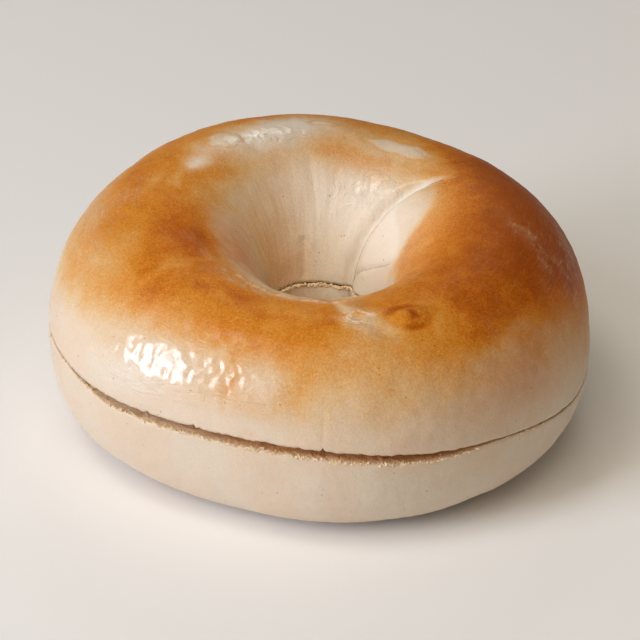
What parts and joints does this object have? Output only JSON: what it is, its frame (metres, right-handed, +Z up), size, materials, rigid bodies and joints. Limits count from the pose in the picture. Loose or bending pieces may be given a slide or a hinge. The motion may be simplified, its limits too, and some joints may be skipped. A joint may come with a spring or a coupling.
{
  "type": "bagel",
  "caption": "Round bread ring with a small central hole and glossy browned crust, sliced level into a top and a bottom half that lie together.",
  "frame": {"origin": "on the surface it rests on, under the middle of the bagel's bounding box", "axes": "+Z up through the hole, +X to the bagel's right and -Y towards its front, where the slit stands open"},
  "size_m": [0.1024, 0.1018, 0.046],
  "materials": {
    "top_crust": "satin",
    "bottom_crust": "satin"
  },
  "bodies": {
    "root": {"bottom_half": "bottom_crust", "top_half": "top_crust"}
  },
  "joints": []
}
